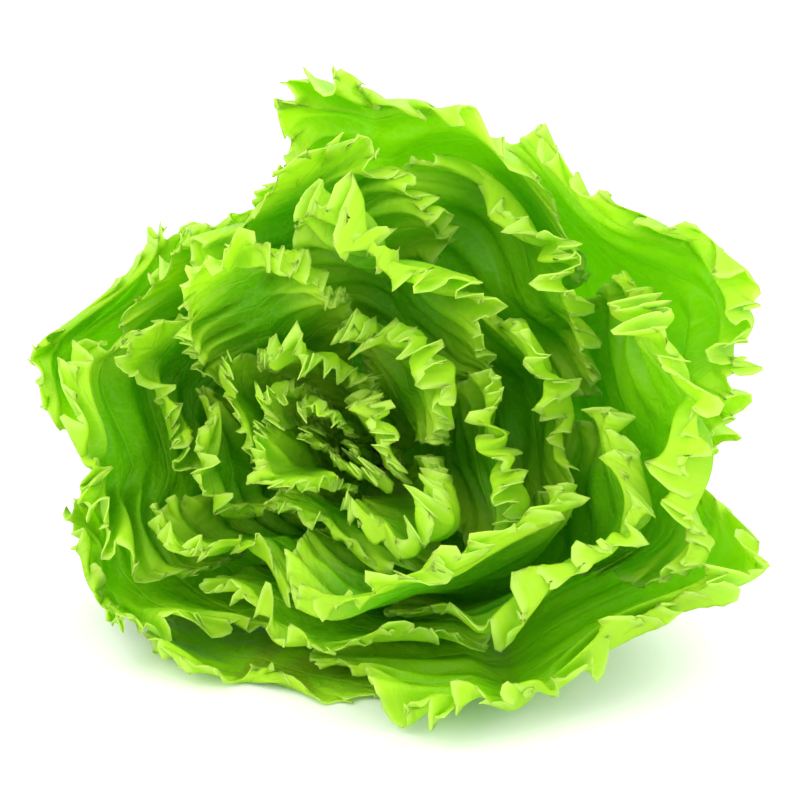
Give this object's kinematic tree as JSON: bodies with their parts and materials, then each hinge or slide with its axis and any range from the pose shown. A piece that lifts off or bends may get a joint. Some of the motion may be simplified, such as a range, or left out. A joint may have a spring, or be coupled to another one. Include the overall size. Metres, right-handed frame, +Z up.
{
  "type": "green leaf lettuce",
  "caption": "Loose head of frilled green lettuce leaves on a short cut stem, lying on its side with the crown facing forward.",
  "frame": {"origin": "on the surface it rests on, under the middle of the head's bounding box", "axes": "+Z up, +X to the right of someone in front of the crown, +Y back towards the cut stem; the crown looks 15 degrees from -Y towards -X"},
  "size_m": [0.3136, 0.2326, 0.2398],
  "materials": {
    "leaf_green": "satin, thin leaf",
    "heart_green": "satin, thin young leaf",
    "stem_pale": "moist, matt cut stem"
  },
  "bodies": {
    "root": {"stem": "stem_pale", "heart": "heart_green", "leaf_01": "leaf_green", "leaf_02": "leaf_green", "leaf_03": "leaf_green", "leaf_04": "leaf_green", "leaf_05": "leaf_green", "leaf_06": "leaf_green", "leaf_07": "leaf_green", "leaf_08": "leaf_green", "leaf_09": "leaf_green", "leaf_10": "leaf_green", "leaf_11": "leaf_green", "leaf_12": "leaf_green", "leaf_13": "leaf_green", "leaf_14": "leaf_green", "leaf_15": "leaf_green", "leaf_16": "leaf_green", "leaf_17": "leaf_green", "leaf_18": "leaf_green", "leaf_19": "leaf_green", "leaf_20": "leaf_green", "leaf_21": "leaf_green", "leaf_22": "leaf_green", "leaf_23": "leaf_green", "leaf_24": "leaf_green", "leaf_25": "leaf_green", "leaf_26": "leaf_green", "leaf_27": "leaf_green"}
  },
  "joints": []
}
